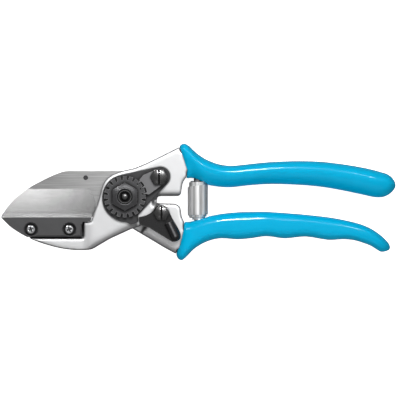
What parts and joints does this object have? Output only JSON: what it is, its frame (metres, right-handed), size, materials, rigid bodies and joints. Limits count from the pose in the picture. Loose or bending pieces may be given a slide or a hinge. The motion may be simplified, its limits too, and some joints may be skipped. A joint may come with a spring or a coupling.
{
  "type": "pruning shears",
  "caption": "Hand pruning shears: a straight blade closes on a screwed anvil, two dipped handles are spread by a volute spring, and a catch locks them shut.",
  "frame": {"origin": "on the pivot's axis, in the flat back face of the pivot bolt's head, which the shears rest on", "axes": "+X along the closed handles, away from the blade; +Y towards the blade's back and the upper handle; +Z along the pivot, out of the front face with the toothed nut"},
  "size_m": [0.2099, 0.0621, 0.0229],
  "materials": {
    "lever_metal": "satin",
    "grip_vinyl": "gloss",
    "blade_steel": "brushed",
    "black_steel": "satin",
    "anvil_black": "satin",
    "catch_black": "gloss",
    "segment_steel": "satin",
    "screw_steel": "satin",
    "oiled_steel": "satin",
    "bush_bronze": "satin",
    "spring_steel": "bright"
  },
  "bodies": {
    "front_half": {"front_lever": "lever_metal", "upper_grip": "grip_vinyl", "anvil": "anvil_black", "anvil_screws": "screw_steel", "pivot_bolt": "oiled_steel", "head_washer": "screw_steel", "blade_washer": "bush_bronze", "lock_plate": "black_steel", "pivot_nut": "black_steel", "toothed_segment": "segment_steel", "segment_screw": "oiled_steel", "return_spring": "spring_steel", "upper_spring_peg": "screw_steel"},
    "rear_half": {"rear_lever": "lever_metal", "lower_grip": "grip_vinyl", "blade": "blade_steel", "blade_pin": "black_steel", "pivot_bush": "bush_bronze", "catch_screw": "oiled_steel", "catch_washer": "screw_steel", "lower_spring_peg": "screw_steel"},
    "catch": {"safety_catch": "catch_black"}
  },
  "joints": [
    {"name": "pivot", "type": "hinge", "parent": "front_half", "child": "rear_half", "pos_m": [0, 0, 0.007], "axis": [0, 0, -1], "range_deg": [0, 31], "deforming": ["return_spring"]},
    {"name": "catch_swing", "type": "hinge", "parent": "rear_half", "child": "catch", "pos_m": [0.0195, -0.0087, 0.0175], "axis": [0, 0, -1], "range_deg": [0, 8]}
  ]
}
